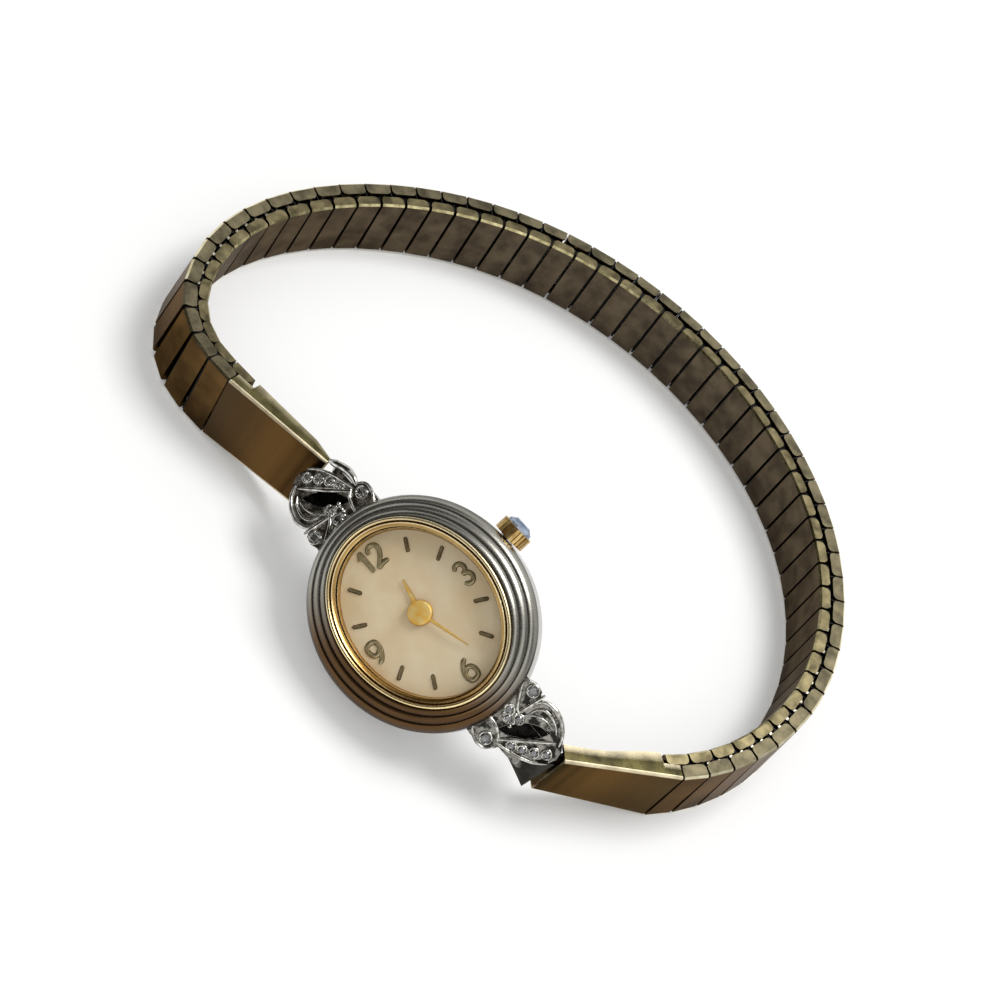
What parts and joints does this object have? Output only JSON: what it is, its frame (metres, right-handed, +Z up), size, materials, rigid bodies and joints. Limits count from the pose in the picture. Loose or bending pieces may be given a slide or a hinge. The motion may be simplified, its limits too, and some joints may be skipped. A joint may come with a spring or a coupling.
{
  "type": "oval wristwatch",
  "caption": "Oval watch with a stepped bezel, dial, hands, crown and quartz movement, scrolled stone-set lugs and a two-row expansion band, standing on its edge.",
  "frame": {"origin": "centre of the bounding box at the floor it stands on", "axes": "+Z up from the floor, across the band's width; -Y towards the side the dial faces; +X towards the lower end piece"},
  "size_m": [0.0668, 0.0552, 0.0152],
  "materials": {
    "case_steel": "polished, silver tone",
    "back_steel": "satin",
    "lug_silver": "polished, silver tone",
    "stone": "small clear set stones",
    "gold": "polished gold tone",
    "band_gold": "polished gold-filled cover",
    "band_steel": "satin inner face",
    "spring_steel": "bright wire and strip",
    "crystal": "clear mineral glass",
    "dial_face": "champagne satin",
    "mark_silver": "applied, polished",
    "movement_brass": "fine brushed",
    "movement_steel": "fine ground",
    "movement_plastic": "moulded",
    "seal": "moulded",
    "board": "printed board",
    "copper": "enamelled copper winding",
    "cell": "button cell can",
    "blue_stone": "faceted steel-blue cap"
  },
  "bodies": {
    "upper_end": {"upper_end_piece": "band_gold", "upper_hook": "band_steel"},
    "head": {"case_body": "case_steel", "case_back": "back_steel", "back_gasket": "seal", "bezel": "case_steel", "bezel_rim": "gold", "crystal": "crystal", "crystal_gasket": "seal", "dial": "dial_face", "dial_numerals": "mark_silver", "dial_markers": "mark_silver", "main_plate": "movement_brass", "train_bridge": "movement_steel", "circuit_board": "board", "movement_screws": "movement_steel", "battery": "cell", "battery_clip": "spring_steel", "stator": "movement_steel", "coil": "copper", "movement_ring": "movement_plastic", "crown_tube": "movement_steel", "upper_lug": "lug_silver", "lower_lug": "lug_silver", "lug_bars": "movement_steel", "lug_stones": "stone"},
    "minute_arbor": {"minute_hand": "gold", "centre_wheel": "movement_brass"},
    "hour_pipe": {"hour_hand": "gold", "hour_wheel": "movement_brass"},
    "minute_wheel": {"minute_wheel": "movement_brass"},
    "third_wheel": {"third_wheel": "movement_plastic"},
    "step_wheel": {"step_wheel": "movement_plastic"},
    "rotor": {"rotor": "movement_steel"},
    "setting_slide": {"detent_slide": "spring_steel"},
    "crown_and_stem": {"crown": "gold", "crown_stone": "blue_stone", "stem": "movement_steel"},
    "band_1": {"outer_links_1": "band_gold", "inner_links_1": "band_steel", "link_clips_1": "spring_steel"},
    "band_2": {"outer_links_2": "band_gold", "inner_links_2": "band_steel", "link_clips_2": "spring_steel"},
    "band_3": {"outer_links_3": "band_gold", "inner_links_3": "band_steel", "link_clips_3": "spring_steel"},
    "band_4": {"outer_links_4": "band_gold", "inner_links_4": "band_steel", "link_clips_4": "spring_steel"},
    "band_5": {"outer_links_5": "band_gold", "inner_links_5": "band_steel", "link_clips_5": "spring_steel"},
    "band_6": {"outer_links_6": "band_gold", "inner_links_6": "band_steel", "link_clips_6": "spring_steel"},
    "lower_end": {"lower_end_piece": "band_gold", "lower_hook": "band_steel"}
  },
  "joints": [
    {"name": "head_tilt", "type": "hinge", "parent": "upper_end", "child": "head", "pos_m": [-0.01126, -0.01402, 0.00507], "axis": [0.9589, -0.2831, -0.021], "range_deg": [0, 20]},
    {"name": "minute_turn", "type": "hinge", "parent": "head", "child": "minute_arbor", "pos_m": [0.00138, -0.02054, 0.00835], "axis": [0.1745, 0.6461, -0.743], "continuous": true},
    {"name": "hour_turn", "type": "hinge", "parent": "head", "child": "hour_pipe", "pos_m": [0.00138, -0.02054, 0.00835], "axis": [0.1745, 0.6461, -0.743], "continuous": true},
    {"name": "minute_wheel_turn", "type": "hinge", "parent": "head", "child": "minute_wheel", "pos_m": [0.00079, -0.01833, 0.00845], "axis": [0.1745, 0.6461, -0.743], "continuous": true},
    {"name": "third_wheel_turn", "type": "hinge", "parent": "head", "child": "third_wheel", "pos_m": [0.00311, -0.02088, 0.00678], "axis": [0.1745, 0.6461, -0.743], "continuous": true},
    {"name": "step_wheel_turn", "type": "hinge", "parent": "head", "child": "step_wheel", "pos_m": [0.00343, -0.0223, 0.00562], "axis": [0.1745, 0.6461, -0.743], "continuous": true},
    {"name": "rotor_turn", "type": "hinge", "parent": "head", "child": "rotor", "pos_m": [0.0052, -0.02239, 0.00596], "axis": [0.1745, 0.6461, -0.743], "continuous": true},
    {"name": "crown_pull", "type": "slide", "parent": "head", "child": "setting_slide", "axis": [0.1685, 0.7239, 0.669], "range_m": [0, 0.0008]},
    {"name": "crown_turn", "type": "hinge", "parent": "setting_slide", "child": "crown_and_stem", "pos_m": [0.00164, -0.01956, 0.00722], "axis": [0.1685, 0.7239, 0.669], "continuous": true},
    {"name": "band_stretch_upper", "type": "slide", "parent": "upper_end", "child": "band_1", "axis": [-0.9762, 0.2169, 0], "range_m": [0, 0.000554]},
    {"name": "band_flex_1", "type": "hinge", "parent": "band_1", "child": "band_2", "pos_m": [-0.03179, -0.00212, 0.0036], "axis": [0, 0, 1], "range_deg": [-5, 5]},
    {"name": "band_flex_2", "type": "hinge", "parent": "band_2", "child": "band_3", "pos_m": [-0.02716, 0.01185, 0.0036], "axis": [0, 0, 1], "range_deg": [-5, 5]},
    {"name": "band_stretch", "type": "slide", "parent": "band_3", "child": "band_4", "axis": [0.9557, 0.2942, 0], "range_m": [0, 0.001], "stiffness_N_per_m": 200},
    {"name": "band_flex_3", "type": "hinge", "parent": "band_4", "child": "band_5", "pos_m": [0.03195, 0.00015, 0.00362], "axis": [0, 0, 1], "range_deg": [-5, 5]},
    {"name": "band_flex_4", "type": "hinge", "parent": "band_5", "child": "band_6", "pos_m": [0.02732, -0.01381, 0.00362], "axis": [0, 0, 1], "range_deg": [-5, 5]},
    {"name": "band_stretch_lower", "type": "slide", "parent": "band_6", "child": "lower_end", "axis": [-0.718, -0.696, 0], "range_m": [0, 0.000604]}
  ],
  "couplings": [
    {"joint": "hour_turn", "follows": "minute_turn", "ratio": 0.083333},
    {"joint": "minute_wheel_turn", "follows": "minute_turn", "ratio": -0.33333},
    {"joint": "third_wheel_turn", "follows": "minute_turn", "ratio": -4},
    {"joint": "step_wheel_turn", "follows": "minute_turn", "ratio": 18},
    {"joint": "rotor_turn", "follows": "minute_turn", "ratio": -90},
    {"joint": "band_stretch_upper", "follows": "band_stretch", "ratio": 0.54356},
    {"joint": "band_stretch_lower", "follows": "band_stretch", "ratio": 0.59207},
    {"joint": "band_flex_2", "follows": "band_flex_1", "ratio": -1},
    {"joint": "band_flex_3", "follows": "band_flex_1", "ratio": 1},
    {"joint": "band_flex_4", "follows": "band_flex_1", "ratio": -1}
  ]
}
